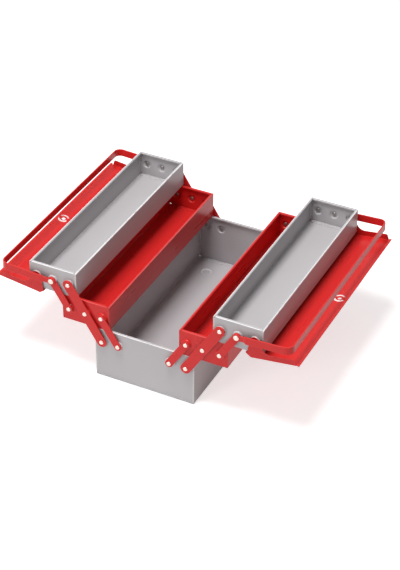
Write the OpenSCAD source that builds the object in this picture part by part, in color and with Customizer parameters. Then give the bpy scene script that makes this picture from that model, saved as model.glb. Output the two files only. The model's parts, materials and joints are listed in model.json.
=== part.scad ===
// Five-tray cantilever tool box in folded sheet steel, shown fully open.
// X runs across the box, Y along it (the front end is at -Y), Z is up.
// The origin is under the middle of the base, on the surface it stands on.

/* [Base] */
// Width of the base across the two long sides
body_w = 200; // [170:1:230]
// Length of every shell, end face to end face
body_l = 424; // [300:1:600]
// Height of the base rim above the surface it stands on
base_h = 107.5; // [85:0.5:150]
// Thickness of the folded sheet
sheet_t = 1; // [0.8:0.1:1.2]
// Height of the pressed feet
foot_h = 1.5; // [1:0.1:3]
// Diameter of the pressed feet
foot_d = 22; // [16:1:30]

/* [Trays] */
// Width of each tray
tray_w = 96; // [88:1:98]
// Height of each tray
tray_h = 52.2; // [46:0.1:60]
// Width of the rim that is folded inwards
rim_w = 5; // [4:0.5:7]
// Depth of the lip that turns down from the rim
rim_lip = 3; // [2.5:0.1:5]
// Width of the welding flanges of the end plates
flange_w = 8; // [7:0.5:14]
// Outer radius of the folds
fold_r = 2; // [1.6:0.1:3]
// Diameter of the corner relief holes
relief_d = 5; // [4:0.5:7]

/* [Linkage] */
// Distance between neighbouring pivots on a tray
pivot_pitch = 33; // [28:0.5:34]
// Thickness of the link bars
link_t = 2.5; // [2:0.1:3]
// Width of the long links
long_link_w = 20; // [16:0.5:24]
// Width of the short links
short_link_w = 15; // [12:0.5:18]
// Height of the pressed bosses that carry the links
boss_h = 2.5; // [2:0.1:3.5]
// Diameter of a boss at its foot
boss_d = 19; // [17:0.5:22]
// Diameter of a boss at its flat top
boss_top_d = 15; // [13:0.5:16]

/* [Rivets] */
// Diameter of the rivet shanks
rivet_d = 3.8; // [3.4:0.1:5.5]
// Diameter of the domed heads on the links
head_d = 8.6; // [7.5:0.1:11]
// Height of the domed heads on the links
head_h = 2.2; // [1.5:0.1:3]
// Diameter of the domed heads on the handles
handle_head_d = 10.6; // [9:0.1:13]
// Height of the low heads that hold the lids
lid_head_h = 1.4; // [1:0.1:1.6]
// Diameter of the clenched tails inside the trays
tail_d = 8; // [7:0.1:9]
// Height of the clenched tails inside the trays
tail_h = 1.4; // [1:0.1:2]

/* [Lids] */
// Outward and upward slope of an open lid, in degrees
lid_tilt = 7.5; // [6:0.5:8]
// Height of the end walls above the panel's outer face
lid_wall_h = 11.6; // [8:0.2:13]
// Radius of the ear round a lid's pivot
lid_ear_r = 9.5; // [8:0.5:11]
// Diameter of the padlock hole
eye_d = 7; // [6:0.5:10]
// Diameter of the raised ring round the padlock hole
eye_ring_d = 22; // [15:0.5:24]
// Width of the hem on the free edge
hem_w = 5; // [3:0.5:7]

/* [Handles] */
// Distance from a handle's pivot to the outer face of its grip
handle_reach = 105; // [102:0.5:105]
// Width of the handle strap
strap_w = 15; // [12:0.5:15]
// Thickness of the handle strap
strap_t = 2.5; // [2:0.1:2.7]
// Radius of the ear round a handle's pivot
handle_ear_r = 8; // [7.5:0.1:9]
// Width of the neck beside the ear
neck_w = 11; // [9:0.5:12]
// Outer radius of the strap's corners, seen from above
strap_r = 14; // [9:0.5:22]
// Upward slope of a lowered handle, in degrees
handle_tilt = 3; // [3:0.5:6]
// Sideways step of the strap, past the lid's rivet
joggle = 1.8; // [1:0.1:3]

/* [Hidden] */
$fn = 48;

// Clearances and the one overrun of all cuts
stack_gap = 0.3;
face_gap = 0.3;
pin_gap = 0.05;
swing_gap = 4;
heel_gap = 3.5;
over = 1;

// Steps in a fold and in a strap corner
fold_steps = 4;
corner_steps = 8;

// Colours
grey = [0.72, 0.71, 0.72];
red = [0.80, 0.10, 0.11];
plated = [0.93, 0.87, 0.76];

// Places of the pivots: a closed tray is flush with the side of the base
rise = tray_h + stack_gap;
closed_x = body_w / 2 - tray_w / 2;
middle_x = closed_x + 2 * pivot_pitch;
upper_x = closed_x + 4 * pivot_pitch;
middle_z = base_h + stack_gap;
upper_z = middle_z + rise;
base_pivot_z = middle_z + tray_h / 2 - rise;
middle_pivot_z = middle_z + tray_h / 2;
upper_pivot_z = upper_z + tray_h / 2;
base_pivots = [-closed_x - pivot_pitch, -closed_x, closed_x, closed_x + pivot_pitch];
middle_pivots = [middle_x - pivot_pitch, middle_x, middle_x + pivot_pitch];
lean = atan(pivot_pitch / rise);
link_l = norm([pivot_pitch, rise]);

// Layers, measured outwards from an end face
layer_link = boss_h + face_gap;
layer_head = layer_link + link_t + face_gap;
layer_lid_head = layer_link + sheet_t + face_gap;
layer_arm = layer_head + joggle;
layer_handle_head = layer_head + strap_t + face_gap;
lid_half_l = body_l / 2 + layer_link + sheet_t;

bore_d = rivet_d + 2 * pin_gap;

// Places of the pressed feet
foot_x = body_w / 2 - foot_d * 1.7;
foot_y = body_l / 2 - foot_d * 2;

// Shape of a lid, in its own frame round its pivot: the panel clears the tray's corner as it swings
lid_drop = norm([tray_w / 2 - pivot_pitch, tray_h / 2]) + swing_gap + sheet_t;
lid_reach = tray_w / 2 + pivot_pitch;
lid_heel = tray_w / 2 - pivot_pitch + heel_gap + sheet_t;
heel_chamfer_share = 0.5;
heel_x = -lid_heel * heel_chamfer_share;
heel_lip_z = -(tray_h / 2 + face_gap - sin(lid_tilt) * (lid_heel - sheet_t / 2)) / cos(lid_tilt);
heel_fold_z = heel_lip_z - sheet_t * 1.9;
wall_top_z = lid_wall_h - lid_drop;
wall_end_x = lid_reach - hem_w - sheet_t * 3;
wall_end_step = sheet_t * 2;
ear_fillet_r = lid_ear_r * 1.7;
ear_fillet_x = lid_ear_r * 1.25 + ear_fillet_r;
heel_wall_x = -lid_heel + sheet_t * 2.5;
eye_x = lid_reach - hem_w - eye_ring_d / 2;
eye_ridge_r = (eye_ring_d - eye_d) / 4;
eye_ridge_h = sheet_t * 1.6;

// Shape of a handle, in its own frame round its pivot
neck_end = handle_ear_r * 2;
joggle_start = handle_ear_r * 1.5;
joggle_end = joggle_start + joggle * 4;

// Left normal of a direction
function turned(d) = [-d[1], d[0]];
function unit(v) = v / norm(v);

// Angle by which a path turns at a corner
function turn_at(p) = let (a = unit(p[1] - p[0]), b = unit(p[2] - p[1])) acos(a * b);

// Arc that rounds one corner of a path which turns left there
function rounded(p, r, steps) =
    let (
        a = unit(p[1] - p[0]),
        turn = turn_at(p),
        start = p[1] - a * r * tan(turn / 2),
        centre = start + turned(a) * r
    )
    [for (i = [0:steps]) let (w = turn * i / steps) centre + r * (a * sin(w) - turned(a) * cos(w))];

// A whole path with each of its corners rounded
function rounded_path(path, r, steps) =
    concat(
        [path[0]],
        [for (i = [1:len(path) - 2]) each rounded([path[i - 1], path[i], path[i + 1]], r, steps)],
        [path[len(path) - 1]]
    );

// The point that lies t to the left of point i of a path
function beside(path, i, t) =
    let (
        last = len(path) - 1,
        a = i == 0 ? unit(path[1] - path[0]) : unit(path[i] - path[i - 1]),
        b = i == last ? a : unit(path[i + 1] - path[i]),
        m = unit(turned(a) + turned(b))
    )
    path[i] + m * t / (m * turned(a));

// Outline of a sheet of thickness t along a path, with the sheet on its left
function sheet_outline(path, t) =
    concat(path, [for (i = [len(path) - 1:-1:0]) beside(path, i, t)]);

// Turns a drawing in X and Z into a body along Y, from y = 0 to y = -h
module along_y(h) {
    rotate([90, 0, 0])
        linear_extrude(height = h)
            children();
}

// Places a piece of the front end, drawn from its end face towards -Y, at either end
module at_end(end) {
    if (end < 0)
        translate([0, -body_l / 2, 0]) children();
    else
        mirror([0, 1, 0])
            translate([0, -body_l / 2, 0]) children();
}

// Places a piece of the right side at either side
module at_side(side) {
    if (side > 0)
        children();
    else
        mirror([1, 0, 0]) children();
}

// Round rod along -Y, from y = start
module rod(d, start, h) {
    translate([0, -start, 0])
        rotate([90, 0, 0])
            cylinder(d = d, h = h);
}

// One folded sheet: floor, two long sides, rims and lips
module shell(w, h) {
    half = w / 2;
    path = [
        [-half + rim_w, h - rim_lip], [-half + rim_w, h], [-half, h], [-half, 0],
        [half, 0], [half, h], [half - rim_w, h], [half - rim_w, h - rim_lip]
    ];
    translate([0, body_l / 2, 0])
        along_y(body_l)
            polygon(sheet_outline(rounded_path(path, fold_r, fold_steps), sheet_t));
}

// End plate with its rim, lips, welding flanges, bosses, bores and corner reliefs, its outer face at y = 0
module end_plate(w, h, pivots, pivot_z) {
    half = w / 2;
    path = [
        [rim_w, h - rim_lip], [rim_w, h], [0, h], [0, sheet_t], [flange_w, sheet_t]
    ];
    difference() {
        union() {
            translate([-half + rim_w, 0, 0])
                rotate([90, 0, 90])
                    linear_extrude(height = w - 2 * rim_w)
                        polygon(sheet_outline(rounded_path(path, fold_r, fold_steps), sheet_t));
            for (side = [-1, 1])
                at_side(side) {
                    translate([half - rim_w - over, 0, sheet_t + fold_r])
                        cube([rim_w - sheet_t + over, sheet_t, h - rim_lip - sheet_t - fold_r]);
                    translate([half - 2 * sheet_t, 0, sheet_t + fold_r])
                        cube([sheet_t, flange_w, h - rim_lip - sheet_t - fold_r]);
                }
            for (x = pivots)
                translate([x, sheet_t / 2, pivot_z])
                    rotate([90, 0, 0])
                        cylinder(d1 = boss_d, d2 = boss_top_d, h = boss_h + sheet_t / 2);
        }
        for (x = pivots)
            translate([x, 0, pivot_z]) {
                translate([0, sheet_t, 0])
                    rotate([90, 0, 0])
                        cylinder(d1 = boss_d - 2 * sheet_t, d2 = boss_top_d - 2 * sheet_t, h = boss_h);
                rod(bore_d, -sheet_t - over, boss_h + sheet_t + 2 * over);
            }
        for (side = [-1, 1])
            translate([side * (half - sheet_t), 0, sheet_t])
                rod(relief_d, -flange_w - over, flange_w + 2 * over);
    }
}

// Solid cap of a sphere, standing on z = 0
module dome(d, h) {
    r = (d * d / 4 + h * h) / (2 * h);
    intersection() {
        translate([0, 0, h - r])
            sphere(r = r);
        cylinder(d = d + over, h = h + over);
    }
}

// Rivet through a boss: tail inside, shank, and a domed head beyond the layer that it holds
module rivet(layer, d, h) {
    seat = boss_h - sheet_t;
    rod(tail_d, seat - tail_h, tail_h);
    rod(rivet_d, seat - tail_h / 2, layer - seat + tail_h / 2);
    translate([0, -layer, 0])
        rotate([90, 0, 0])
            dome(d, h);
}

// Rivets of one kind at both ends, at the given places
module rivets(xs, z, layer, d, h) {
    color(plated)
        for (end = [-1, 1])
            at_end(end)
                for (x = xs)
                    translate([x, 0, z])
                        rivet(layer, d, h);
}

// Flat bar with round ends, from one pivot towards the open side and up
module link(w, holes) {
    long = link_l * holes[len(holes) - 1];
    translate([0, -layer_link, 0])
        rotate([0, lean, 0])
            along_y(link_t)
                difference() {
                    union() {
                        translate([-w / 2, 0])
                            square([w, long]);
                        circle(d = w);
                        translate([0, long])
                            circle(d = w);
                    }
                    for (i = holes)
                        translate([0, i * link_l])
                            circle(d = bore_d);
                }
}

module link_at(side, end, x, z, w, holes) {
    color(red)
        at_side(side)
            at_end(end)
                translate([x, 0, z])
                    link(w, holes);
}

module long_link(side, end) {
    link_at(side, end, closed_x + pivot_pitch, base_pivot_z, long_link_w, [0, 1, 2]);
}

module inner_link(side, end) {
    link_at(side, end, closed_x, base_pivot_z, short_link_w, [0, 1]);
}

module outer_link(side, end) {
    link_at(side, end, middle_x + pivot_pitch, middle_pivot_z, short_link_w, [0, 1]);
}

// Base shell on four pressed feet
module base_shell() {
    color(grey)
        difference() {
            union() {
                translate([0, 0, foot_h])
                    shell(body_w, base_h - foot_h);
                for (x = [-foot_x, foot_x], y = [-foot_y, foot_y])
                    translate([x, y, 0])
                        cylinder(d1 = foot_d - 2 * foot_h, d2 = foot_d, h = foot_h + sheet_t / 2);
            }
            for (x = [-foot_x, foot_x], y = [-foot_y, foot_y])
                translate([x, y, sheet_t])
                    cylinder(d1 = foot_d - 2 * foot_h - 2 * sheet_t, d2 = foot_d - 2 * sheet_t, h = foot_h);
        }
}

module base_end(end) {
    color(grey)
        at_end(end)
            translate([0, 0, foot_h])
                end_plate(body_w, base_h - foot_h, base_pivots, base_pivot_z - foot_h);
}

module tray_shell(side, x, z, paint) {
    color(paint)
        at_side(side)
            translate([x, 0, z])
                shell(tray_w, tray_h);
}

module tray_end(side, end, x, z, paint) {
    color(paint)
        at_side(side)
            at_end(end)
                translate([x, 0, z])
                    end_plate(tray_w, tray_h, [-pivot_pitch, 0, pivot_pitch], tray_h / 2);
}

// Outline of a lid's panel, seen from the front end
function lid_path() = [
    [-lid_heel, heel_lip_z], [-lid_heel, heel_fold_z], [heel_x, -lid_drop], [lid_reach - sheet_t, -lid_drop]
];

// Outline of a lid's end wall: panel side, outer end, fillet to the ear, heel
function lid_wall_outline() = concat(
    [
        [heel_x, -lid_drop + sheet_t / 2], [wall_end_x + wall_end_step, -lid_drop + sheet_t / 2],
        [wall_end_x, wall_top_z]
    ],
    [
        for (i = [0:corner_steps])
            let (w = 90 * i / corner_steps)
            [ear_fillet_x - ear_fillet_r * sin(w), wall_top_z + ear_fillet_r * (1 - cos(w))]
    ],
    [[lid_ear_r, 0], [-lid_ear_r, 0], [heel_wall_x, heel_lip_z], [heel_wall_x, heel_fold_z]]
);

// Raised ring round the padlock hole, standing on the panel
module eye_ring() {
    middle_r = eye_ring_d / 2 - eye_ridge_r;
    rotate_extrude()
        translate([middle_r, 0])
            polygon([
                for (i = [0:corner_steps])
                    let (w = 180 * i / corner_steps)
                    [eye_ridge_r * cos(w), eye_ridge_h * sin(w)]
            ]);
}

// Lid of the right side, round its pivot, lying level
module lid_body() {
    difference() {
        union() {
            translate([0, lid_half_l, 0])
                along_y(2 * lid_half_l)
                    polygon(sheet_outline(lid_path(), sheet_t));
            translate([lid_reach - hem_w, -lid_half_l, -lid_drop + sheet_t])
                cube([hem_w - sheet_t, 2 * lid_half_l, sheet_t]);
            translate([lid_reach - sheet_t, lid_half_l, -lid_drop + sheet_t])
                rod(2 * sheet_t, 0, 2 * lid_half_l);
            for (end = [-1, 1])
                at_end(end)
                    translate([0, -layer_link, 0])
                        along_y(sheet_t) {
                            polygon(lid_wall_outline());
                            circle(r = lid_ear_r);
                        }
            translate([eye_x, 0, -lid_drop + sheet_t])
                eye_ring();
        }
        for (end = [-1, 1])
            at_end(end)
                rod(bore_d, layer_link - over, sheet_t + 2 * over);
        translate([eye_x, 0, -lid_drop - over])
            cylinder(d = eye_d, h = sheet_t + 2 * over);
    }
}

module lid(side) {
    color(red)
        at_side(side)
            translate([upper_x + pivot_pitch, 0, upper_pivot_z])
                rotate([0, -lid_tilt, 0])
                    lid_body();
}

// Half of the strap's path seen from above, from the front ear to the middle of the grip
function strap_path() = concat(
    [
        [-handle_ear_r - over, -body_l / 2 - layer_head - strap_t],
        [joggle_start, -body_l / 2 - layer_head - strap_t],
        [joggle_end, -body_l / 2 - layer_arm - strap_t]
    ],
    rounded(
        [
            [joggle_end, -body_l / 2 - layer_arm - strap_t],
            [handle_reach, -body_l / 2 - layer_arm - strap_t],
            [handle_reach, 0]
        ],
        strap_r, corner_steps
    ),
    [[handle_reach, 0]]
);

// Handle of the right side, round its pivot, lying level
module handle_body() {
    half_path = strap_path();
    difference() {
        intersection() {
            for (end = [-1, 1])
                mirror([0, end < 0 ? 0 : 1, 0])
                    translate([0, 0, -strap_w / 2])
                        linear_extrude(height = strap_w + over)
                            polygon(sheet_outline(half_path, strap_t));
            translate([0, body_l, 0])
                along_y(2 * body_l)
                    union() {
                        circle(r = handle_ear_r);
                        translate([0, -neck_w / 2])
                            square([neck_end + over, neck_w]);
                        translate([neck_end, -strap_w / 2])
                            square([handle_reach, strap_w]);
                    }
        }
        for (end = [-1, 1])
            at_end(end)
                rod(bore_d, layer_head - over, strap_t + 2 * over);
    }
}

module handle(side) {
    color(red)
        at_side(side)
            translate([upper_x, 0, upper_pivot_z])
                rotate([0, -handle_tilt, 0])
                    handle_body();
}

base_shell();
base_end(-1);  // base_front_end
base_end(1);  // base_rear_end
rivets(base_pivots, base_pivot_z, layer_head, head_d, head_h);  // base_rivets
long_link(-1, -1);  // left_long_link_front
long_link(-1, 1);  // left_long_link_rear
inner_link(-1, -1);  // left_inner_link_front
inner_link(-1, 1);  // left_inner_link_rear
outer_link(-1, -1);  // left_outer_link_front
outer_link(-1, 1);  // left_outer_link_rear
tray_shell(-1, middle_x, middle_z, red);  // left_middle_shell
tray_end(-1, -1, middle_x, middle_z, red);  // left_middle_front_end
tray_end(-1, 1, middle_x, middle_z, red);  // left_middle_rear_end
at_side(-1) rivets(middle_pivots, middle_pivot_z, layer_head, head_d, head_h);  // left_middle_rivets
tray_shell(-1, upper_x, upper_z, grey);  // left_upper_shell
tray_end(-1, -1, upper_x, upper_z, grey);  // left_upper_front_end
tray_end(-1, 1, upper_x, upper_z, grey);  // left_upper_rear_end
at_side(-1) rivets([upper_x - pivot_pitch], upper_pivot_z, layer_head, head_d, head_h);  // left_link_rivets
at_side(-1) rivets([upper_x], upper_pivot_z, layer_handle_head, handle_head_d, head_h);  // left_handle_rivets
at_side(-1) rivets([upper_x + pivot_pitch], upper_pivot_z, layer_lid_head, head_d, lid_head_h);  // left_lid_rivets
lid(-1);  // left_lid
handle(-1);  // left_handle
long_link(1, -1);  // right_long_link_front
long_link(1, 1);  // right_long_link_rear
inner_link(1, -1);  // right_inner_link_front
inner_link(1, 1);  // right_inner_link_rear
outer_link(1, -1);  // right_outer_link_front
outer_link(1, 1);  // right_outer_link_rear
tray_shell(1, middle_x, middle_z, red);  // right_middle_shell
tray_end(1, -1, middle_x, middle_z, red);  // right_middle_front_end
tray_end(1, 1, middle_x, middle_z, red);  // right_middle_rear_end
at_side(1) rivets(middle_pivots, middle_pivot_z, layer_head, head_d, head_h);  // right_middle_rivets
tray_shell(1, upper_x, upper_z, grey);  // right_upper_shell
tray_end(1, -1, upper_x, upper_z, grey);  // right_upper_front_end
tray_end(1, 1, upper_x, upper_z, grey);  // right_upper_rear_end
at_side(1) rivets([upper_x - pivot_pitch], upper_pivot_z, layer_head, head_d, head_h);  // right_link_rivets
at_side(1) rivets([upper_x], upper_pivot_z, layer_handle_head, handle_head_d, head_h);  // right_handle_rivets
at_side(1) rivets([upper_x + pivot_pitch], upper_pivot_z, layer_lid_head, head_d, lid_head_h);  // right_lid_rivets
lid(1);  // right_lid
handle(1);  // right_handle
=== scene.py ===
# %% [markdown]
# # A cantilever tool box in folded steel sheet
# The real box is nothing but steel, most of it sheet 1 mm thick that is cut flat, folded, spot welded,
# painted and joined with rivets. Four trays ride on flat links over a base, and two lids and two strap
# handles hang on the upper trays. This lesson makes the sheet pieces the way the workshop does: draw a flat
# outline, fold its edges, press the round forms, and give the sheet its thickness last. The frame holds the
# true places and moves the pieces, so the pieces are measured from it.

# %% Load the frame and keep its box
import json
import math

import bmesh
import bpy
from mathutils import Matrix, Vector


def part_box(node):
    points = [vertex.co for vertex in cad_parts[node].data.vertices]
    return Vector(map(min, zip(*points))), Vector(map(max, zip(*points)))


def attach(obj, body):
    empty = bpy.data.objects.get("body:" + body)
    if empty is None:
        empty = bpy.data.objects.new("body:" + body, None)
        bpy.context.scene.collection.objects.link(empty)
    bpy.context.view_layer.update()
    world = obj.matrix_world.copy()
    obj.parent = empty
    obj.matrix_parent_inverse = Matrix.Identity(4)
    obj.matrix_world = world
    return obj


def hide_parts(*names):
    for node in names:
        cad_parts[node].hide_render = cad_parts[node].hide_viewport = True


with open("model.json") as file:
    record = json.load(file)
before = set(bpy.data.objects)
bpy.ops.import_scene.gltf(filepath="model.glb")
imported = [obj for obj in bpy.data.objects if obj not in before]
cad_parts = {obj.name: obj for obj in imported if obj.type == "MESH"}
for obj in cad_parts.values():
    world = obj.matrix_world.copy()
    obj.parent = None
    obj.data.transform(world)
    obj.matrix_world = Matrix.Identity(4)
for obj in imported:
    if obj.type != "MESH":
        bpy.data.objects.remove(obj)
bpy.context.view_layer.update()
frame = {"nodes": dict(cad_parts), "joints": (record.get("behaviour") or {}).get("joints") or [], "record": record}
SCENE = bpy.context.scene

# %% [markdown]
# ## Sizes of the sheet metal
# All lengths are in metres. A folded sheet has few sizes of its own: its thickness, the radius of its folds
# and the widths of its flanges. The places of the pivots come from the frame's joints, so a piece that is
# made here always lands on its rivet.

# %% Name the sizes
MM = 0.001
SHEET = 1.0 * MM
FOLD_R = 2.0 * MM
RIM_W = 5.0 * MM
RIM_LIP = 3.0 * MM
FLANGE_W = 8.0 * MM
RELIEF_R = 2.5 * MM
BOSS_H = 2.5 * MM
BOSS_FOOT_R = 9.5 * MM
BOSS_TOP_R = 7.7 * MM
PIN_HOLE_R = 1.95 * MM
CUT_EDGE_R = 0.22 * MM
FOLD_STEPS = 5
CORNER_STEPS = 4
RING_STEPS = 32
NEAR = 0.02 * MM  # places closer than this count as the same
SLIVER = 0.005 * MM  # vertices closer than this are joined
AXIS_X, AXIS_Z = 0, 2
DOWN = Vector((0, 0, -1))
# The same attribute also marks where highlights are painted: on rims, upright corners and the padlock ring.
RUBBED_AND_HIGHLIT = "rubbed_and_highlit"  # the attribute that says where paint and steel are rubbed

JOINTS = {joint["name"]: joint for joint in frame["joints"]}
BODY_OF = {node: body for body, nodes in frame["record"]["behaviour"]["bodies"].items() for node in nodes}
SLOT_OF = {part["node"]: part["material_slot"] for part in frame["record"]["subparts"]}


def pivot(joint):
    """Place of a joint's axis as (x, z)."""
    x, _, z = JOINTS[joint]["pos_m"]
    return x, z


PITCH = abs(pivot("right_fold")[0] - pivot("right_inner_link_swing")[0])
HALF_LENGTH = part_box("base_shell")[1].y
print("pivot pitch", round(PITCH / MM, 2), "mm, shell length", round(2 * HALF_LENGTH / MM, 1), "mm")

# %% [markdown]
# ## Paint and steel
# The box has three finishes: silver-grey enamel, red enamel and bright plated rivets. Sprayed enamel is never
# quite flat. It dries with a fine orange peel, it pulls thin over sharp edges, and a box that has been used
# has rubbed rims, faint wipe marks and a little dust in its corners. Each of those effects could be typed
# again in every material, but they are the same effect with other values, so each one is a node group that is
# built once. A few helpers keep the groups short.


# %% Helpers for node trees
def new_group(name, inputs, outputs):
    """Empty shader node group; inputs maps the names of its float sockets to their defaults."""
    group = bpy.data.node_groups.new(name, "ShaderNodeTree")
    for label, default in inputs.items():
        socket = group.interface.new_socket(label, in_out="INPUT", socket_type="NodeSocketFloat")
        socket.default_value = default
    for label in outputs:
        group.interface.new_socket(label, in_out="OUTPUT", socket_type="NodeSocketFloat")
    return group, group.nodes.new("NodeGroupInput"), group.nodes.new("NodeGroupOutput")


def feed(tree, socket, value):
    """Links a socket to an output, or gives it a plain value."""
    if hasattr(value, "links"):
        tree.links.new(value, socket)
    else:
        socket.default_value = value


def math_node(tree, operation, *values, clamp=False):
    """Math node whose inputs are outputs of other nodes or numbers."""
    node = tree.nodes.new("ShaderNodeMath")
    node.operation = operation
    node.use_clamp = clamp
    for socket, value in zip(node.inputs, values):
        feed(tree, socket, value)
    return node.outputs[0]


def ramp_node(tree, value, low, high, start=0.0):
    """Smooth step of a value from start at low to 1 at high."""
    node = tree.nodes.new("ShaderNodeMapRange")
    node.interpolation_type = "SMOOTHSTEP"
    for label, number in (("Value", value), ("From Min", low), ("From Max", high), ("To Min", start)):
        feed(tree, node.inputs[label], number)
    return node.outputs["Result"]


def object_place(tree):
    """Object coordinates, which stay on the piece when it moves."""
    return tree.nodes.new("ShaderNodeTexCoord").outputs["Object"]


def noise_node(tree, place, scale, detail):
    """Noise over a place; scale is its number of bumps per metre."""
    node = tree.nodes.new("ShaderNodeTexNoise")
    for label, value in (("Vector", place), ("Scale", scale), ("Detail", detail)):
        feed(tree, node.inputs[label], value)
    return node.outputs["Fac"]


# %% [markdown]
# ### Orange peel
# Sprayed paint dries with soft dimples about 1.5 mm apart, over long, lazy waves from the rolled sheet. Two
# noises of different size, read from Object coordinates, give both. The group puts out a height for a Bump
# node and a slow variation that the roughness can use.


# %% Group: sprayed skin
def make_sprayed_skin():
    group, entry, exit_ = new_group(
        "sprayed skin", {"Peel Scale": 700.0, "Peel Height": 0.5, "Wave Height": 0.5}, ["Height", "Variation"]
    )
    place = object_place(group)
    peel = noise_node(group, place, scale=entry.outputs["Peel Scale"], detail=2.0)
    wave = noise_node(group, place, scale=26.0, detail=1.0)
    fine = math_node(group, "MULTIPLY", peel, entry.outputs["Peel Height"])
    broad = math_node(group, "MULTIPLY", wave, entry.outputs["Wave Height"])
    group.links.new(math_node(group, "ADD", fine, broad), exit_.inputs["Height"])
    group.links.new(wave, exit_.inputs["Variation"])
    return group


SPRAYED_SKIN = make_sprayed_skin()

# %% [markdown]
# ### Thin edges and painted edge highlights
# Wet paint draws back from a sharp edge, so folds and cut edges look a little lighter than the flats. Here the
# lightening is stronger than thin paint gives, so it is also a painted highlight along every fold and edge. The
# Bevel node gives the normal that the surface would have with rounder edges. Where that differs from the true
# normal there is an edge nearby, and their dot product is a ready mask. A noise breaks it up.


# %% Group: thin edges and painted edge highlights
def make_thin_edges_and_highlights():
    group, entry, exit_ = new_group("thin edges and highlights", {"Reach": 1.2 * MM, "Amount": 1.0}, ["Mask"])
    round_normal = group.nodes.new("ShaderNodeBevel")
    round_normal.samples = 6
    true_normal = group.nodes.new("ShaderNodeNewGeometry")
    group.links.new(entry.outputs["Reach"], round_normal.inputs["Radius"])
    dot = group.nodes.new("ShaderNodeVectorMath")
    dot.operation = "DOT_PRODUCT"
    group.links.new(round_normal.outputs["Normal"], dot.inputs[0])
    group.links.new(true_normal.outputs["Normal"], dot.inputs[1])
    turned = math_node(group, "SUBTRACT", 1.0, dot.outputs["Value"])
    edge = ramp_node(group, turned, low=0.004, high=0.09)
    breaks = noise_node(group, object_place(group), scale=90.0, detail=4.0)
    broken = math_node(group, "MULTIPLY", edge, ramp_node(group, breaks, low=0.2, high=0.5))
    mask = math_node(group, "MULTIPLY", broken, entry.outputs["Amount"], clamp=True)
    group.links.new(mask, exit_.inputs["Mask"])
    return group


THIN_EDGES_AND_HIGHLIGHTS = make_thin_edges_and_highlights()

# %% [markdown]
# ### Rubbed places and painted highlights
# Where a bench and hands rub, paint is polished pale and steel bright: at the feet and on the rivets' heads.
# The same pale colour is also a painted highlight along the rims, on the upright corners of the end plates
# and on two arcs of the ring round the padlock hole. A formula can't know those places, but the modeller
# does. So the vertices there carry an attribute, which is written while the piece is made. The material
# reads it, and on paint a noise breaks it up.


# %% Group: rubbed places and painted highlights
def make_rubbed_and_highlit_places():
    group, entry, exit_ = new_group("rubbed places", {"Break Up": 1.0}, ["Mask"])
    rubbed_and_highlit = group.nodes.new("ShaderNodeAttribute")
    rubbed_and_highlit.attribute_name = RUBBED_AND_HIGHLIT
    breaks = noise_node(group, object_place(group), scale=70.0, detail=3.0)
    lost = ramp_node(group, breaks, low=0.5, high=0.15)
    gaps = math_node(group, "MULTIPLY", lost, entry.outputs["Break Up"])
    kept = math_node(group, "SUBTRACT", 1.0, gaps)
    mask = math_node(group, "MULTIPLY", rubbed_and_highlit.outputs["Fac"], kept, clamp=True)
    group.links.new(mask, exit_.inputs["Mask"])
    return group


RUBBED_AND_HIGHLIT_PLACES = make_rubbed_and_highlit_places()

# %% [markdown]
# ### Dust and painted shade in the corners
# Where two walls meet a floor, dust gathers and shade falls, and this group paints both into the colour as
# one darkening. Ambient occlusion measures how closed in a point is. It works on the finished shape, so it
# needs no painting by hand, and a fine noise keeps it from looking like a drop shadow.


# %% Group: corner dust and painted shade
def make_corner_dust_and_shade():
    group, entry, exit_ = new_group("corner dust", {"Distance": 12.0 * MM, "Amount": 1.0}, ["Mask"])
    closed = group.nodes.new("ShaderNodeAmbientOcclusion")
    closed.samples = 8
    group.links.new(entry.outputs["Distance"], closed.inputs["Distance"])
    shut = math_node(group, "SUBTRACT", 1.0, closed.outputs["AO"])
    specks = noise_node(group, object_place(group), scale=260.0, detail=3.0)
    speckled = math_node(group, "MULTIPLY", shut, ramp_node(group, specks, low=0.2, high=0.75))
    mask = math_node(group, "MULTIPLY", speckled, entry.outputs["Amount"], clamp=True)
    group.links.new(mask, exit_.inputs["Mask"])
    return group


CORNER_DUST_AND_SHADE = make_corner_dust_and_shade()

# %% [markdown]
# ### Wipe marks
# A rag leaves long soft streaks along a tray. They are a noise stretched along Y, and they change only the
# gloss, by a little. Stretching is done with a Mapping node on Object coordinates, so the streaks stay on the
# piece when it moves.


# %% Group: wipe marks
def make_wipe_marks():
    group, entry, exit_ = new_group("wipe marks", {"Low": 0.2, "High": 0.35}, ["Roughness"])
    stretch = group.nodes.new("ShaderNodeMapping")
    stretch.inputs["Scale"].default_value = (60.0, 7.0, 60.0)
    group.links.new(object_place(group), stretch.inputs["Vector"])
    streaks = noise_node(group, stretch.outputs["Vector"], scale=1.0, detail=3.0)
    share = ramp_node(group, streaks, low=0.3, high=0.7)
    span = math_node(group, "SUBTRACT", entry.outputs["High"], entry.outputs["Low"])
    rise = math_node(group, "MULTIPLY", share, span)
    group.links.new(math_node(group, "ADD", rise, entry.outputs["Low"]), exit_.inputs["Roughness"])
    return group


WIPE_MARKS = make_wipe_marks()
print("node groups:", [group.name for group in bpy.data.node_groups])

# %% [markdown]
# ### Parts that every material needs
# A material starts from its Principled shader. Groups are placed in it by name, colours are laid over each
# other by masks, and a height bends the normals.

# %% Helpers for materials
# A Mix node has sockets for every kind of data. These are its places for colour.
COLOUR_A, COLOUR_B, COLOUR_MIXED = 6, 7, 2


def new_material(name):
    """Material with its node tree and its Principled shader."""
    material = bpy.data.materials.new(name)
    material.use_nodes = True
    return material, material.node_tree, material.node_tree.nodes["Principled BSDF"]


def place_group(tree, group, **values):
    """Adds a group to a material's tree; values are given by socket name with _ for a space."""
    node = tree.nodes.new("ShaderNodeGroup")
    node.node_tree = group
    for label, value in values.items():
        node.inputs[label.replace("_", " ")].default_value = value
    return node


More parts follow.
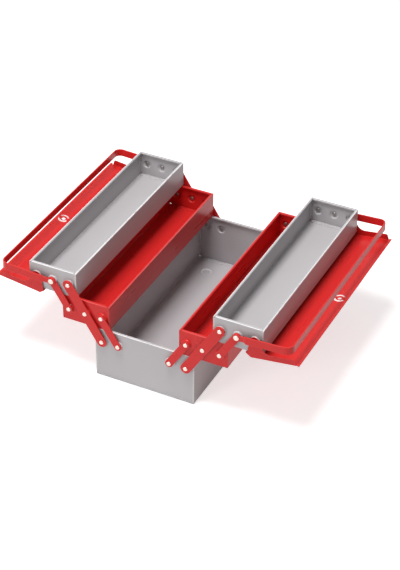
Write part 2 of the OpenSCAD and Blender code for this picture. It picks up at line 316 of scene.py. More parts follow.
def mix_colour(tree, factor, first, second):
    """Mix of two colours, each an output or an RGBA value."""
    node = tree.nodes.new("ShaderNodeMix")
    node.data_type = "RGBA"
    tree.links.new(factor, node.inputs["Factor"])
    feed(tree, node.inputs[COLOUR_A], first)
    feed(tree, node.inputs[COLOUR_B], second)
    return node.outputs[COLOUR_MIXED]


def add_bump(tree, shader, height, strength, distance):
    bump = tree.nodes.new("ShaderNodeBump")
    for label, value in (("Strength", strength), ("Distance", distance), ("Height", height)):
        feed(tree, bump.inputs[label], value)
    tree.links.new(bump.outputs["Normal"], shader.inputs["Normal"])


# %% [markdown]
# ### The enamels
# Both enamels are the same paint in two colours: a coloured coat with a clear, glossy surface. The edge mask
# lightens the colour with thin paint and a painted highlight, rubbed places and painted highlights go pale,
# the dust mask darkens the corners with dust and painted shade, the wipe marks set the roughness and the
# sprayed skin bends the reflections. Coat and specular level are the same all over, so they are set on the
# shader's own sockets.


# %% Material: enamel
def make_enamel(name, colours, roughness, edge_reach, edge_highlight_amount, dust_and_shade_amount):
    """Paint; colours are those of the flats, of edges with a painted highlight, of worn places and painted
    highlights, and of corners darkened by dirt and painted shade.
    """
    colour, edge_highlight_colour, rubbed_and_highlit_colour, dust_and_shade_colour = colours
    material, tree, paint = new_material(name)
    skin = place_group(tree, SPRAYED_SKIN, Peel_Scale=620.0, Peel_Height=0.55, Wave_Height=1.6)
    # The edge mask paints thin paint and a highlight, the dust mask dust and shade, the rubbed mask wear and
    # highlights.
    edges = place_group(tree, THIN_EDGES_AND_HIGHLIGHTS, Reach=edge_reach, Amount=edge_highlight_amount)
    dust_and_shade = place_group(tree, CORNER_DUST_AND_SHADE, Distance=14.0 * MM, Amount=dust_and_shade_amount)
    wipes = place_group(tree, WIPE_MARKS, Low=roughness[0], High=roughness[1])
    rubbed_and_highlit = place_group(tree, RUBBED_AND_HIGHLIT_PLACES, Break_Up=1.0)
    edge_highlighted = mix_colour(tree, edges.outputs["Mask"], colour, edge_highlight_colour)
    polished_and_highlit = mix_colour(tree, rubbed_and_highlit.outputs["Mask"], edge_highlighted, rubbed_and_highlit_colour)
    tree.links.new(mix_colour(tree, dust_and_shade.outputs["Mask"], polished_and_highlit, dust_and_shade_colour), paint.inputs["Base Color"])
    tree.links.new(wipes.outputs["Roughness"], paint.inputs["Roughness"])
    add_bump(tree, paint, skin.outputs["Height"], strength=0.35, distance=0.06 * MM)
    paint.inputs["Specular IOR Level"].default_value = 0.18
    paint.inputs["Coat Weight"].default_value = 0.04
    paint.inputs["Coat Roughness"].default_value = 0.12
    return material


# Each finish gives its flat colour, its edge highlight, its colour for wear and highlights, and its colour of dust
# and painted shade.
GREY_ENAMEL = make_enamel(
    "silver grey enamel",
    ((0.47, 0.45, 0.46, 1), (0.80, 0.78, 0.78, 1), (0.93, 0.92, 0.92, 1), (0.18, 0.17, 0.17, 1)),
    roughness=(0.30, 0.38), edge_reach=2.0 * MM, edge_highlight_amount=0.8, dust_and_shade_amount=0.55,
)
RED_ENAMEL = make_enamel(
    "red enamel",
    ((0.61, 0.022, 0.021, 1), (0.80, 0.080, 0.065, 1), (0.95, 0.86, 0.83, 1), (0.20, 0.011, 0.011, 1)),
    roughness=(0.27, 0.32), edge_reach=1.6 * MM, edge_highlight_amount=0.6, dust_and_shade_amount=0.4,
)

# %% [markdown]
# ### Plated rivets
# The rivets are plated steel. Their heads are rubbed bright by hands, and their clenched tails inside the
# trays stay dull. A metal has no colour but its reflection, so the material is metallic with a warm tint, and
# a slow noise varies its roughness.

# %% Material: plated steel
STEEL_ROUGHNESS = (0.3, 0.55)


def make_plated_steel():
    material, tree, metal = new_material("plated steel")
    skin = place_group(tree, SPRAYED_SKIN, Peel_Scale=1500.0, Peel_Height=0.5, Wave_Height=0.2)
    # The corner mask paints dust and shade round the foot of each head.
    dust_and_shade = place_group(tree, CORNER_DUST_AND_SHADE, Distance=2.0 * MM, Amount=0.8)
    rubbed_and_highlit = place_group(tree, RUBBED_AND_HIGHLIT_PLACES, Break_Up=0.0)
    bright, dull, dirty_and_shaded = (0.76, 0.59, 0.53, 1), (0.34, 0.31, 0.30, 1), (0.22, 0.17, 0.16, 1)
    worn = mix_colour(tree, rubbed_and_highlit.outputs["Mask"], dull, bright)
    tree.links.new(mix_colour(tree, dust_and_shade.outputs["Mask"], worn, dirty_and_shaded), metal.inputs["Base Color"])
    low, high = STEEL_ROUGHNESS
    rough = math_node(tree, "MULTIPLY_ADD", skin.outputs["Variation"], high - low, low)
    tree.links.new(rough, metal.inputs["Roughness"])
    add_bump(tree, metal, skin.outputs["Height"], strength=0.25, distance=0.04 * MM)
    metal.inputs["Metallic"].default_value = 0.85
    return material


PLATED_STEEL = make_plated_steel()
MATERIAL_OF_SLOT = {"grey_paint": GREY_ENAMEL, "red_paint": RED_ENAMEL, "plated_rivet": PLATED_STEEL}
print("materials:", [material.name for material in MATERIAL_OF_SLOT.values()])

# %% [markdown]
# ## Helpers for sheet metal
# Every sheet piece is first a skin without thickness: the outer face of the folded sheet. Its folds are
# rounded with a bevel and round forms are pressed into it. Then Solidify grows the sheet inwards, Bevel
# breaks its cut edges, Weld joins the slivers that the bevel leaves in tight corners, and Weighted Normal
# keeps the flats flat. The modifiers are settled into the mesh, so that the mesh holds what is seen. The
# skin also carries the layer of wear and painted highlights on its vertices, and the modifiers hand it on.


# %% Settle a skin into a piece
def settle(name, bm, node, thickness, edge_r):
    """Makes the piece that stands for a node, in its finish and on its body."""
    mesh = bpy.data.meshes.new(name)
    bm.to_mesh(mesh)
    bm.free()
    piece = bpy.data.objects.new(name, mesh)
    SCENE.collection.objects.link(piece)
    if thickness:
        grow = piece.modifiers.new("sheet", "SOLIDIFY")
        grow.thickness = thickness
        grow.offset = -1.0
    if edge_r:
        soften = piece.modifiers.new("cut edges", "BEVEL")
        soften.width = edge_r
        soften.segments = 2
        soften.limit_method = "ANGLE"
        soften.angle_limit = math.radians(40)
        soften.use_clamp_overlap = False
        join = piece.modifiers.new("slivers", "WELD")
        join.merge_threshold = SLIVER
    flats = piece.modifiers.new("flat faces", "WEIGHTED_NORMAL")
    flats.weight = 100
    for polygon in mesh.polygons:
        polygon.use_smooth = True
    graph = bpy.context.evaluated_depsgraph_get()
    settled = bpy.data.meshes.new_from_object(piece.evaluated_get(graph))
    piece.modifiers.clear()
    piece.data = settled
    settled.name = name
    settled.materials.clear()
    settled.materials.append(MATERIAL_OF_SLOT[SLOT_OF[node]])
    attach(piece, BODY_OF[node])
    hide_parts(node)
    return piece


def only(kind, items):
    """Those of the vertices, edges and faces that an operator gives back which are of one kind."""
    return [item for item in items if isinstance(item, kind)]


def draw_out(bm, edges, vec):
    """Extrudes edges along vec and gives back the new far edges."""
    grown = bmesh.ops.extrude_edge_only(bm, edges=edges)["geom"]
    verts = only(bmesh.types.BMVert, grown)
    bmesh.ops.translate(bm, verts=verts, vec=vec)
    far = set(verts)
    return [edge for edge in only(bmesh.types.BMEdge, grown) if set(edge.verts) <= far]


def lies_at(edge, axis, value):
    """Whether the whole edge lies at that value along an axis."""
    return all(abs(vert.co[axis] - value) <= NEAR for vert in edge.verts)


def round_folds(bm, edges, radius=FOLD_R):
    """Rounds folds and gives back the vertices that lie inside them."""
    made = bmesh.ops.bevel(
        bm, geom=edges, offset=radius, offset_type="OFFSET", segments=FOLD_STEPS, profile=0.5,
        affect="EDGES", clamp_overlap=True, material=-1,
    )
    folded = set(made["faces"])
    return [vert for vert in made["verts"] if all(face in folded for face in vert.link_faces)]


def new_skin():
    """Empty bmesh that can say where the piece is worn bright and where a highlight is painted."""
    bm = bmesh.new()
    bm.verts.layers.float.new(RUBBED_AND_HIGHLIT)
    return bm


def rub(bm, verts, amount):
    """Says how bright the vertices are from wear and from painted highlights: 0 is sound paint, 1 is fully bright.
    """
    layer = bm.verts.layers.float.get(RUBBED_AND_HIGHLIT)
    for vert in verts:
        vert[layer] = amount


def ring_of(bm, centre, low, high):
    """Vertices between two distances from an upright axis through centre."""
    return [vert for vert in bm.verts if low <= (vert.co.xy - Vector(centre)).length <= high]


def face_outwards(bm, direction):
    """Gives all faces one winding, with the largest flat that can look along direction doing so."""
    bmesh.ops.recalc_face_normals(bm, faces=bm.faces)
    flat = max(bm.faces, key=lambda face: abs(face.normal.dot(direction)) * face.calc_area())
    if flat.normal.dot(direction) < 0:
        bmesh.ops.reverse_faces(bm, faces=bm.faces)


# %% [markdown]
# ### Pressing a round form
# A press pushes a round boss or dimple into flat sheet. In the mesh, a square patch is cut out round the
# centre, its border is divided into as many edges as the ring has, and the two are bridged. Further rings are
# extruded from the last one, smaller and higher each time. A closed press ends in a disc, an open one in a
# hole for a rivet.


# %% Press
ACROSS = Vector((1, 0, 0))
PATCH_SHARE = 1.15  # half the patch's width against the largest ring's radius
ALIGNED = 0.999  # cosine above which a face looks along a normal
CUT_SNAP = NEAR / 10


def face_at(bm, centre, normal):
    """The flat face that the point lies in."""
    for face in bm.faces:
        if abs(face.normal.dot(normal)) < ALIGNED or abs((face.verts[0].co - centre).dot(normal)) > NEAR:
            continue
        low = Vector(map(min, *(vert.co for vert in face.verts)))
        high = Vector(map(max, *(vert.co for vert in face.verts)))
        if all(low[i] - NEAR <= centre[i] <= high[i] + NEAR for i in range(3)):
            return face
    raise ValueError(f"no flat face at {tuple(centre)}")


def press(bm, centre, normal, rings, close=False):
    """Presses rings of (radius, height along normal) into flat sheet that runs along X."""
    centre, normal = Vector(centre), Vector(normal)
    along = normal.cross(ACROSS)
    bm.normal_update()
    half = rings[0][0] * PATCH_SHARE
    for axis in (ACROSS, -ACROSS, along, -along):
        face = face_at(bm, centre, normal)
        geom = [face, *face.edges, *face.verts]
        bmesh.ops.bisect_plane(bm, geom=geom, plane_co=centre + axis * half, plane_no=axis, dist=CUT_SNAP)
    patch = face_at(bm, centre, normal)
    border = list(patch.edges)
    bmesh.ops.delete(bm, geom=[patch], context="FACES_ONLY")
    cut = bmesh.ops.subdivide_edges(bm, edges=border, cuts=RING_STEPS // len(border) - 1)
    border = only(bmesh.types.BMEdge, cut["geom_split"])
    lift = normal * half  # the ring stands above its border while the two are bridged
    place = Matrix((ACROSS, along, normal)).transposed().to_4x4()
    place.translation = centre + lift
    circle = bmesh.ops.create_circle(bm, segments=RING_STEPS, radius=rings[0][0], matrix=place)["verts"]
    ring = list({edge for vert in circle for edge in vert.link_edges})
    bmesh.ops.bridge_loops(bm, edges=border + ring)
    bmesh.ops.translate(bm, verts=circle, vec=-lift)
    for (radius, height), (next_radius, next_height) in zip(rings, rings[1:]):
        ring = draw_out(bm, ring, normal * (next_height - height))
        verts = list({vert for edge in ring for vert in edge.verts})
        share = next_radius / radius
        to_centre = Matrix.Translation(-centre)
        flat = Matrix.Scale(share, 4, ACROSS) @ Matrix.Scale(share, 4, along)
        bmesh.ops.transform(bm, matrix=flat, space=to_centre, verts=verts)
    if close:
        bmesh.ops.contextual_create(bm, geom=ring)


# %% [markdown]
# ## The shells
# A tray's shell is one sheet: floor, two long walls, and on each wall a rim folded in with a small lip turned
# down. It could be a box with its top cut off, but then the folds and the rim would all be extra work. Drawn
# as a bent line of eight points and extruded along the tray, the folds are simply the long edges. The base
# also has four round feet, pressed out of its own floor. From inside they show as shallow dimples.

# %% Fold a shell
FOOT_H = 1.5 * MM
FOOT_R = 11.0 * MM
FOOT_RINGS = [
    (FOOT_R, 0.0), (FOOT_R - 0.4 * MM, 0.15 * MM), (FOOT_R - 0.8 * MM, 0.7 * MM),
    (FOOT_R - 1.2 * MM, 1.3 * MM), (FOOT_R - 1.7 * MM, FOOT_H),
]
FOOT_INSET_X, FOOT_INSET_Y = 2 * FOOT_R * 1.7, 4 * FOOT_R
FOOT_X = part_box("base_shell")[1].x - FOOT_INSET_X
FOOT_Y = HALF_LENGTH - FOOT_INSET_Y
FOOT_PLACES = [(x, y) for x in (-FOOT_X, FOOT_X) for y in (-FOOT_Y, FOOT_Y)]
FOOT_RUB = 0.7
FOOT_RUB_RING = (FOOT_R - 1.0 * MM, FOOT_R - 0.3 * MM)
# Share of painted highlight on the outer fold of each rim, for each finish.
RIM_HIGHLIGHT = {"grey_paint": 1.0, "red_paint": 0.1}


def fold_shell(node):
    """Makes a tray's floor and long walls, and for the base its feet."""
    low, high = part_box(node)
    floor_z = low.z + (FOOT_H if node == "base_shell" else 0)
    left, right = low.x, high.x
    outline = [
        (left + RIM_W, high.z - RIM_LIP), (left + RIM_W, high.z), (left, high.z), (left, floor_z),
        (right, floor_z), (right, high.z), (right - RIM_W, high.z), (right - RIM_W, high.z - RIM_LIP),
    ]
    bm = new_skin()
    verts = [bm.verts.new((x, low.y, z)) for x, z in outline]
    line = [bm.edges.new(pair) for pair in zip(verts, verts[1:])]
    draw_out(bm, line, (0, high.y - low.y, 0))
    folded = round_folds(bm, [edge for edge in bm.edges if len(edge.link_faces) == 2])
    # The outer fold of each rim gets a painted highlight.
    crest = [vert for vert in folded if vert.co.z > high.z - FOLD_R]
    outer = [vert for vert in crest if min(vert.co.x - left, right - vert.co.x) < FOLD_R]
    rub(bm, outer, RIM_HIGHLIGHT[SLOT_OF[node]])
    face_outwards(bm, DOWN)
    if node == "base_shell":
        for x, y in FOOT_PLACES:
            press(bm, (x, y, floor_z), DOWN, FOOT_RINGS, close=True)
            rub(bm, ring_of(bm, (x, y), *FOOT_RUB_RING), FOOT_RUB)
        face_outwards(bm, DOWN)
    return settle(node + "_sheet", bm, node, SHEET, CUT_EDGE_R)


# %% Make the five shells
SHELLS = ["base_shell"]
SHELLS += [f"{side}_{level}_shell" for side in ("left", "right") for level in ("middle", "upper")]
for node in SHELLS:
    shell = fold_shell(node)
    print(shell.name, len(shell.data.polygons), "faces")

# %% [markdown]
# ## The end plates
# Each end of a tray is closed by a plate with a rim of its own, a flange that is welded to the floor and two
# that are welded to the walls. Its lower corners are cut away so that the three flanges can fold without
# tearing, which is why a speck of light shows in the corners of a real tray. Round bosses are pressed
# outwards where the rivets go, so that the links swing clear of the plate.

# %% Fold an end plate
BOSS_RINGS = [
    (BOSS_FOOT_R, 0.0), (BOSS_FOOT_R - 0.3 * MM, 0.2 * MM), (BOSS_TOP_R + 0.6 * MM, BOSS_H - 0.45 * MM),
    (BOSS_TOP_R + 0.2 * MM, BOSS_H - 0.1 * MM), (BOSS_TOP_R - 0.3 * MM, BOSS_H), (PIN_HOLE_R, BOSS_H),
]
WELD_RINGS = [(2.4 * MM, 0.0), (2.0 * MM, 0.22 * MM), (1.2 * MM, 0.3 * MM)]
WELD_PITCH = 28.0 * MM
WELD_DEPTH = FLANGE_W * 0.62
FLOOR_MITRE, SIDE_MITRE = FLANGE_W * 0.5, FLANGE_W * 0.4
RELIEF_PROFILE = 0.15  # under 0.25 the cut corner is hollow
# Share of the rim's painted highlight that the upright corner folds get.
SIDE_CORNER_HIGHLIGHT = 0.6


def mitre(edges, axis, amount, middle):
    """Draws the ends of a flange's free edge in, so that neighbouring flanges stay apart."""
    for vert in {vert for edge in edges for vert in edge.verts}:
        vert.co[axis] += amount if vert.co[axis] < middle else -amount


def fold_end_plate(node, pivots, pivot_z):
    """Makes the plate that closes one end of a tray, with a boss at each pivot."""
    low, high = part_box(node)
    front = low.y < 0
    face_y = low.y + BOSS_H if front else high.y - BOSS_H
    inward = Vector((0, 1 if front else -1, 0))
    middle = (low.x + high.x) / 2
    half = (high.x - low.x) / 2
    rim_half = half + SHEET - RIM_W
    step_z = high.z - RIM_LIP
    outline = [
        (-half, low.z), (half, low.z), (half, step_z), (rim_half, step_z),
        (rim_half, high.z), (-rim_half, high.z), (-rim_half, step_z), (-half, step_z),
    ]
    bm = new_skin()
    verts = [bm.verts.new((middle + x, face_y, z)) for x, z in outline]
    bm.faces.new(verts)
    bmesh.ops.bevel(
        bm, geom=verts[:2], offset=RELIEF_R, offset_type="OFFSET", segments=CORNER_STEPS,
        profile=RELIEF_PROFILE, affect="VERTICES", material=-1,
    )
    floor_edge = [edge for edge in bm.edges if lies_at(edge, AXIS_Z, low.z)]
    top_edge = [edge for edge in bm.edges if lies_at(edge, AXIS_Z, high.z)]
    side_edges = [edge for edge in bm.edges if any(lies_at(edge, AXIS_X, x) for x in (low.x, high.x))]
    floor_rim = draw_out(bm, floor_edge, inward * FLANGE_W)
    side_rims = draw_out(bm, side_edges, inward * FLANGE_W)
    lip = draw_out(bm, top_edge, inward * RIM_W)
    draw_out(bm, lip, (0, 0, -RIM_LIP))
    mitre(floor_rim, AXIS_X, FLOOR_MITRE, middle)
    mitre(side_rims, AXIS_Z, SIDE_MITRE, (low.z + step_z) / 2)
    folded = round_folds(bm, floor_edge + side_edges + top_edge + lip)
    # The rim's outer fold and the upright corner folds get painted highlights.
    crest = [vert for vert in folded if vert.co.z > high.z - FOLD_R]
    corners = [vert for vert in folded if abs(vert.co.x - middle) > half - FOLD_R]
    rub(bm, [vert for vert in crest if abs(vert.co.y - face_y) < FOLD_R], RIM_HIGHLIGHT[SLOT_OF[node]])
    rub(bm, corners, SIDE_CORNER_HIGHLIGHT * RIM_HIGHLIGHT[SLOT_OF[node]])
    face_outwards(bm, -inward)
    for x in pivots:
        press(bm, (x, face_y, pivot_z), -inward, BOSS_RINGS)
    welds = int(rim_half / WELD_PITCH)
    for i in range(-welds, welds + 1):
        place = (middle + i * WELD_PITCH, face_y + inward.y * WELD_DEPTH, low.z)
        press(bm, place, DOWN, WELD_RINGS, close=True)
    face_outwards(bm, -inward)
    return settle(node + "_sheet", bm, node, SHEET, CUT_EDGE_R)


# %% Make the ten end plates
def tray_pivots(side, level):
    """The three pivots along a tray's end, from the inside outwards, and their height."""
    x, z = pivot(f"{side}_middle_level" if level == "middle" else f"{side}_handle_pivot")
    outward = 1 if side == "right" else -1
    return [x - outward * PITCH, x, x + outward * PITCH], z


BASE_JOINTS = [f"{side}_{swing}" for side in ("left", "right") for swing in ("fold", "inner_link_swing")]
BASE_PIVOTS = [pivot(joint)[0] for joint in BASE_JOINTS]
BASE_PIVOT_Z = pivot("right_fold")[1]
for end in ("front", "rear"):
    fold_end_plate(f"base_{end}_end", BASE_PIVOTS, BASE_PIVOT_Z)
    for side in ("left", "right"):
        for level in ("middle", "upper"):
            fold_end_plate(f"{side}_{level}_{end}_end", *tray_pivots(side, level))
print("end plates with bosses at x =", [round(x / MM) for x in BASE_PIVOTS], "mm on the base")

# %% [markdown]
# ## Links and handles
# The links are flat bars with round ends, and a handle is one strap bent to a U round its lid. Their shapes
# in the frame are already true, down to the rivet holes, so making them again would gain nothing. What the
# frame lacks is the small rounding that tumbling gives to punched parts. A copy of each mesh is merged, its
# coplanar triangles are dissolved and its edges are beveled.

# %% Soften a copy of a bar
BAR_EDGE_R = 0.55 * MM
COPLANAR = math.radians(0.5)


def soften_bar(node):
    """Makes a bar or strap from a copy of its shape in the frame."""
    bm = bmesh.new()
    bm.from_mesh(frame["nodes"][node].data)
    bmesh.ops.remove_doubles(bm, verts=bm.verts, dist=SLIVER)
    bmesh.ops.dissolve_limit(bm, angle_limit=COPLANAR, verts=bm.verts, edges=bm.edges)
    return settle(node + "_bar", bm, node, 0, BAR_EDGE_R)


BARS = [node for node in frame["nodes"] if node.endswith("_handle")]
BARS += [node for node in frame["nodes"] if "_link_" in node and "rivets" not in node]
for node in sorted(BARS):
    soften_bar(node)
print(len(BARS), "bars and straps")

# %% [markdown]
# ## Rivets
# A rivet is turned about its own axis, so one half outline and a spin make it. The outline runs from the
# middle of the head over its crown, under its rim, down the shank and round the clenched tail. The head has a
# shallow mark from the setting tool in its middle, which catches a ring of light.

# %% Spin a rivet
SHANK_R = 1.9 * MM
TAIL_R = 4.0 * MM
TAIL_H = 1.4 * MM
# Shares of radius and height, for the head from its middle outwards and for the tail back to its middle.
HEAD_PROFILE = [
    (0, 0.80), (0.16, 0.82), (0.26, 0.97), (0.36, 1), (0.52, 0.93), (0.68, 0.80),
    (0.82, 0.58), (0.93, 0.32), (0.985, 0.14), (1, 0.04), (0.97, 0),
]
TAIL_PROFILE = [(0.96, 1), (1, 0.7), (0.8, 0.15), (0.5, 0), (0.2, 0.25), (0, 0.3)]


def rivet_outline(head_r, head_h, depth):
    """Half outline as (radius, height), with height 0 under the head and -depth at the tail's end."""
    head = [(head_r * out, head_h * up) for out, up in HEAD_PROFILE]
    tail = [(TAIL_R * out, TAIL_H * up - depth) for out, up in TAIL_PROFILE]
    return [*head, (SHANK_R, 0), (SHANK_R, TAIL_H - depth), *tail]


def spin_rivet(bm, x, z, end, seat_y, outline):
    """Adds one rivet whose head sits at seat_y, looking out of that end."""
    out = Vector((0, end, 0))
    origin = Vector((x, seat_y, z))
    verts = [bm.verts.new(origin + Vector((radius, 0, 0)) + out * height) for radius, height in outline]
    edges = [bm.edges.new(pair) for pair in zip(verts, verts[1:])]
    bmesh.ops.spin(
        bm, geom=verts + edges, cent=origin, axis=out, dvec=(0, 0, 0),
        angle=2 * math.pi, steps=RING_STEPS, use_merge=True,
    )


# %% Set all rivets
def set_rivets(node, places, head_r, head_h):
    """Makes the rivets of a node at both ends, at places given as (x, z)."""
    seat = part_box(node)[1].y - head_h
    tail_end = HALF_LENGTH + BOSS_H - SHEET - TAIL_H
    outline = rivet_outline(head_r, head_h, seat - tail_end)
    bm = new_skin()
    for end in (-1, 1):
        for x, z in places:
            spin_rivet(bm, x, z, end, end * seat, outline)
    bmesh.ops.remove_doubles(bm, verts=bm.verts, dist=SLIVER)
    bmesh.ops.recalc_face_normals(bm, faces=bm.faces)
    rub(bm, [vert for vert in bm.verts if abs(vert.co.y) > seat - NEAR], 1.0)
    return settle(node + "_set", bm, node, 0, 0)


LINK_HEAD_R, LINK_HEAD_H = 4.3 * MM, 2.2 * MM
HANDLE_HEAD_R = 5.3 * MM
LID_HEAD_H = 1.4 * MM
set_rivets("base_rivets", [(x, BASE_PIVOT_Z) for x in BASE_PIVOTS], LINK_HEAD_R, LINK_HEAD_H)
for side in ("left", "right"):
    xs, z = tray_pivots(side, "middle")
    set_rivets(f"{side}_middle_rivets", [(x, z) for x in xs], LINK_HEAD_R, LINK_HEAD_H)
    (inner_x, handle_x, lid_x), z = tray_pivots(side, "upper")
    set_rivets(f"{side}_link_rivets", [(inner_x, z)], LINK_HEAD_R, LINK_HEAD_H)
    set_rivets(f"{side}_handle_rivets", [(handle_x, z)], HANDLE_HEAD_R, LINK_HEAD_H)
    set_rivets(f"{side}_lid_rivets", [(lid_x, z)], LINK_HEAD_R, LID_HEAD_H)
print("rivets set, with heads of", round(LINK_HEAD_R / MM, 1), "and", round(HANDLE_HEAD_R / MM, 1), "mm")

# %% [markdown]
# ## The lids
# A lid is one sheet too: a long panel with a slanted heel that hooks over the tray's edge, a hem on its free
# edge, and an end wall at each end that reaches up to an ear on the hinge rivet. The wall is drawn first, as
# an outline with a concave fillet and a round ear. The panel is pulled out of its bottom edge, the second
# wall is a copy of the first, and heel and hem are pulled out of the panel's long edges. The lid is made
# level round its own pivot, then tilted, and the left one is the mirror image of the right.

# %% Sizes of a lid, in its own frame round the hinge
# X runs from the hinge towards the free edge and Z upwards. The lid isn't tilted yet.
LID_DROP = 35.1 * MM
LID_REACH = 81.0 * MM
LID_HEEL = 19.5 * MM
LID_TILT = math.radians(7.5)
HEEL_X = -0.5 * LID_HEEL
HEEL_LIP_Z = -24.2 * MM
HEEL_FOLD_Z = HEEL_LIP_Z - 1.9 * SHEET
WALL_TOP_Z = 11.6 * MM - LID_DROP
WALL_END_X = LID_REACH - 8.0 * MM
WALL_FOOT_X = WALL_END_X + 2 * SHEET
WALL_CORNER_R = 3.0 * MM
EAR_R = 9.5 * MM
EAR_STEPS = 16
EAR_FILLET_R = EAR_R * 1.7
EAR_FILLET_X = EAR_R * 1.25 + EAR_FILLET_R
EAR_FILLET_STEPS = 8
HEEL_WALL_X = -LID_HEEL + 2.5 * SHEET
HEM_W = 5.0 * MM
HEM_FOLD_R = 0.98 * SHEET
HEM_EDGE_R = 0.18 * MM
EYE_R = 11.0 * MM
EYE_X = LID_REACH - HEM_W - EYE_R
EYE_RINGS = [
    (EYE_R, 0.0), (EYE_R - 0.5 * MM, -0.5 * MM), (EYE_R - 1.2 * MM, -1.35 * MM),
    (EYE_R - 1.9 * MM, -1.55 * MM), (EYE_R - 2.7 * MM, -1.35 * MM), (EYE_R - 3.8 * MM, -0.7 * MM),
    (EYE_R - 5.2 * MM, -0.5 * MM), (3.5 * MM, -0.5 * MM),
]
EYE_CREST = (EYE_R - 3.0 * MM, EYE_R - 1.0 * MM)
# Two arcs of the padlock ring's crest get a painted highlight.
EYE_HIGHLIGHT_SLOPE = 0.55  # the ring is rubbed in the two arcs where Y is more than this share of X


def arc(cx, cz, radius, start, stop, steps):
    """Points on an arc in X and Z, with angles in degrees from +X towards +Z."""
    angles = [math.radians(start + (stop - start) * i / steps) for i in range(steps + 1)]
    return [(cx + radius * math.cos(a), cz + radius * math.sin(a)) for a in angles]


# %% Fold a lid
def fold_lid(side):
    """Makes one lid: walls with their ears first, then the panel, the heel, the hem and the padlock hole."""
    node = f"{side}_lid"
    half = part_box(node)[1].y
    outline = [(HEEL_X, -LID_DROP), (WALL_FOOT_X, -LID_DROP), (WALL_END_X, WALL_TOP_Z)]
    outline += arc(EAR_FILLET_X, WALL_TOP_Z + EAR_FILLET_R, EAR_FILLET_R, -90, -180, EAR_FILLET_STEPS)
    outline += arc(0, 0, EAR_R, 0, 180, EAR_STEPS)
    outline += [(HEEL_WALL_X, HEEL_LIP_Z), (HEEL_WALL_X, HEEL_FOLD_Z)]
    bm = new_skin()
    verts = [bm.verts.new((x, -half, z)) for x, z in outline]
    bm.faces.new(verts)
    bmesh.ops.bevel(
        bm, geom=[verts[2]], offset=WALL_CORNER_R, offset_type="OFFSET", segments=CORNER_STEPS, profile=0.5,
        affect="VERTICES", material=-1,
    )
    press(bm, (0, -half, 0), (0, -1, 0), [(PIN_HOLE_R, 0)])
    foot_edge = [edge for edge in bm.edges if lies_at(edge, AXIS_Z, -LID_DROP)]
    copied = bmesh.ops.duplicate(bm, geom=bm.verts[:] + bm.edges[:] + bm.faces[:])["geom"]
    bmesh.ops.translate(bm, verts=only(bmesh.types.BMVert, copied), vec=(0, 2 * half, 0))
    draw_out(bm, foot_edge, (0, 2 * half, 0))
    bmesh.ops.remove_doubles(bm, verts=bm.verts, dist=NEAR)
    fold_edges = [edge for edge in bm.edges if lies_at(edge, AXIS_Z, -LID_DROP)]
    wall_folds = [edge for edge in fold_edges if abs(edge.verts[0].co.y - edge.verts[1].co.y) < NEAR]
    heel = [edge for edge in fold_edges if lies_at(edge, AXIS_X, HEEL_X)]
    seam = [edge for edge in fold_edges if lies_at(edge, AXIS_X, WALL_FOOT_X)]
    heel_fold = draw_out(bm, heel, (-LID_HEEL - HEEL_X, 0, HEEL_FOLD_Z + LID_DROP))
    draw_out(bm, heel_fold, (0, 0, HEEL_LIP_Z - HEEL_FOLD_Z))
    hem_low = draw_out(bm, seam, (LID_REACH - WALL_FOOT_X, 0, 0))
    hem_high = draw_out(bm, hem_low, (0, 0, 2 * SHEET))
    draw_out(bm, hem_high, (-HEM_W, 0, 0))
    bmesh.ops.dissolve_edges(bm, edges=seam, use_verts=False)
    round_folds(bm, hem_low + hem_high, HEM_FOLD_R)
    round_folds(bm, wall_folds + heel + heel_fold)
    face_outwards(bm, DOWN)
    press(bm, (EYE_X, 0, -LID_DROP), DOWN, EYE_RINGS)
    # A painted highlight on two arcs of the ring's crest.
    crest = ring_of(bm, (EYE_X, 0), *EYE_CREST)
    rub(bm, [vert for vert in crest if abs(vert.co.y) > abs(vert.co.x - EYE_X) * EYE_HIGHLIGHT_SLOPE], 1.0)
    face_outwards(bm, DOWN)
    open_lid(bm, side)
    return settle(node + "_sheet", bm, node, SHEET, HEM_EDGE_R)


def open_lid(bm, side):
    """Tilts a level lid about its hinge and moves it to its place, mirrored on the left."""
    hinge_x, hinge_z = pivot(f"{side}_lid_hinge")
    bmesh.ops.rotate(bm, verts=bm.verts, cent=(0, 0, 0), matrix=Matrix.Rotation(-LID_TILT, 3, "Y"))
    bmesh.ops.translate(bm, verts=bm.verts, vec=(abs(hinge_x), 0, hinge_z))
    if side == "left":
        bmesh.ops.scale(bm, verts=bm.verts, vec=(-1, 1, 1))
        bmesh.ops.reverse_faces(bm, faces=bm.faces)


for side in ("left", "right"):
    lid = fold_lid(side)
    print(lid.name, len(lid.data.polygons), "faces")

# %% [markdown]
# ## Floor, light and camera
# The box stands on a plain white floor, under one broad lamp above it, with a weaker one in front and to the
# left. The walls that face right stay darker, as in the picture, and pick up the red of the trays beside
# them. The floor and the world look white to the camera and to reflections, without more light on the
# object. Near the box the floor glows less, which keeps the shadow. Far off, where the lamps don't reach, it
# glows more, so that no horizon shows.

# %% White where the camera looks
FLOOR_SIZE = 30.0
FLOOR_GLOW = 0.62
FLOOR_FADE = (0.8, 3.5)  # distances from the middle where the floor's glow starts to rise and where it is 1
WORLD_STRENGTH = 0.25
WHITE = (1, 1, 1, 1)


def seen_by_camera(tree):
    """Socket that is 1 for camera, glossy and transmission rays."""
    path = tree.nodes.new("ShaderNodeLightPath")
    total = math_node(tree, "ADD", path.outputs["Is Camera Ray"], path.outputs["Is Glossy Ray"])
    return math_node(tree, "ADD", total, path.outputs["Is Transmission Ray"], clamp=True)


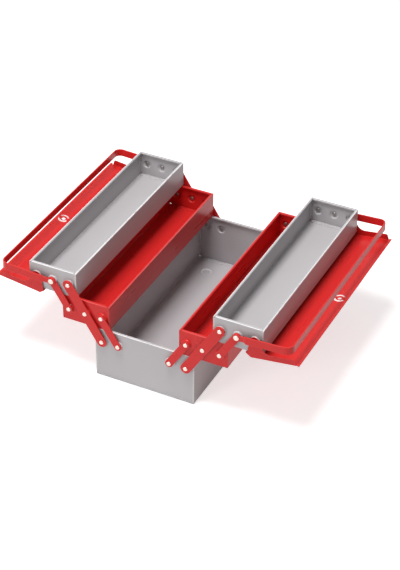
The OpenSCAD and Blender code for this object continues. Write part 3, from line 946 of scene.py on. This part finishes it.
def split_rays(tree, for_light, for_camera, output):
    """Shows one shader to the light on the object, and another where the camera looks."""
    choose = tree.nodes.new("ShaderNodeMixShader")
    for socket, value in zip(choose.inputs, (seen_by_camera(tree), for_light, for_camera)):
        tree.links.new(value, socket)
    tree.links.new(choose.outputs[0], tree.nodes[output].inputs["Surface"])


def make_floor():
    bm = bmesh.new()
    bmesh.ops.create_grid(bm, x_segments=1, y_segments=1, size=FLOOR_SIZE)
    mesh = bpy.data.meshes.new("floor")
    bm.to_mesh(mesh)
    bm.free()
    floor = bpy.data.objects.new("floor", mesh)
    SCENE.collection.objects.link(floor)
    material, tree, paint = new_material("white floor")
    paint.inputs["Base Color"].default_value = (0.86, 0.86, 0.86, 1)
    paint.inputs["Roughness"].default_value = 0.9
    paint.inputs["Specular IOR Level"].default_value = 0.1
    distance = tree.nodes.new("ShaderNodeVectorMath")
    distance.operation = "LENGTH"
    tree.links.new(object_place(tree), distance.inputs[0])
    glow = tree.nodes.new("ShaderNodeEmission")
    rise = ramp_node(tree, distance.outputs["Value"], *FLOOR_FADE, start=FLOOR_GLOW)
    tree.links.new(rise, glow.inputs["Strength"])
    glowing = tree.nodes.new("ShaderNodeAddShader")
    tree.links.new(paint.outputs[0], glowing.inputs[0])
    tree.links.new(glow.outputs[0], glowing.inputs[1])
    split_rays(tree, paint.outputs[0], glowing.outputs[0], "Material Output")
    mesh.materials.append(material)


make_floor()


# %% World and lamps
def make_world():
    world = bpy.data.worlds.new("studio")
    SCENE.world = world
    world.use_nodes = True
    tree = world.node_tree
    ambient = tree.nodes["Background"]
    ambient.inputs["Color"].default_value = WHITE
    ambient.inputs["Strength"].default_value = WORLD_STRENGTH
    white = tree.nodes.new("ShaderNodeBackground")
    white.inputs["Color"].default_value = WHITE
    split_rays(tree, ambient.outputs[0], white.outputs[0], "World Output")


def add_lamp(name, place, size, power):
    """Adds a round area lamp that points at the box."""
    data = bpy.data.lights.new(name, "AREA")
    data.shape = "DISK"
    data.size = size
    data.energy = power
    lamp = bpy.data.objects.new(name, data)
    lamp.location = place
    lamp.rotation_euler = (LAMP_AIM - Vector(place)).to_track_quat("-Z", "Y").to_euler()
    SCENE.collection.objects.link(lamp)


LAMP_AIM = Vector((0.0, 0.0, 0.12))
make_world()
add_lamp("broad lamp", (-0.12, -0.45, 2.4), size=1.0, power=54.0)
add_lamp("front lamp", (-0.9, -2.6, 1.2), size=1.0, power=18.0)

# %% [markdown]
# The camera's place was found by fitting a pinhole camera to corners and rivets of the box in the picture,
# with the width of the base held at its real size. It looks down from the front right.

# %% Camera
CAMERA_AT = Vector((1.174, -2.376, 2.003))
CAMERA_AZIMUTH = math.radians(-26.175)
CAMERA_ELEVATION = math.radians(35.711)
CAMERA_ROLL = math.radians(0.451)
SENSOR_MM = 36.0
FOCAL_PIXELS = 1739.6
HEIGHT_PIXELS = 570


def add_camera():
    level = math.cos(CAMERA_ELEVATION)
    forward = Vector((
        math.sin(CAMERA_AZIMUTH) * level, math.cos(CAMERA_AZIMUTH) * level, -math.sin(CAMERA_ELEVATION),
    ))
    side = Vector((math.cos(CAMERA_AZIMUTH), -math.sin(CAMERA_AZIMUTH), 0))
    up = side.cross(forward)
    turn = Matrix((side, up, -forward)).transposed() @ Matrix.Rotation(CAMERA_ROLL, 3, "Z")
    data = bpy.data.cameras.new("camera")
    data.sensor_width = SENSOR_MM
    data.lens = SENSOR_MM * FOCAL_PIXELS / HEIGHT_PIXELS
    camera = bpy.data.objects.new("camera", data)
    camera.matrix_world = Matrix.Translation(CAMERA_AT) @ turn.to_4x4()
    SCENE.collection.objects.link(camera)
    SCENE.camera = camera
    return camera


camera = add_camera()
SCENE.view_settings.view_transform = "Standard"
print("camera lens", round(camera.data.lens, 1), "mm")
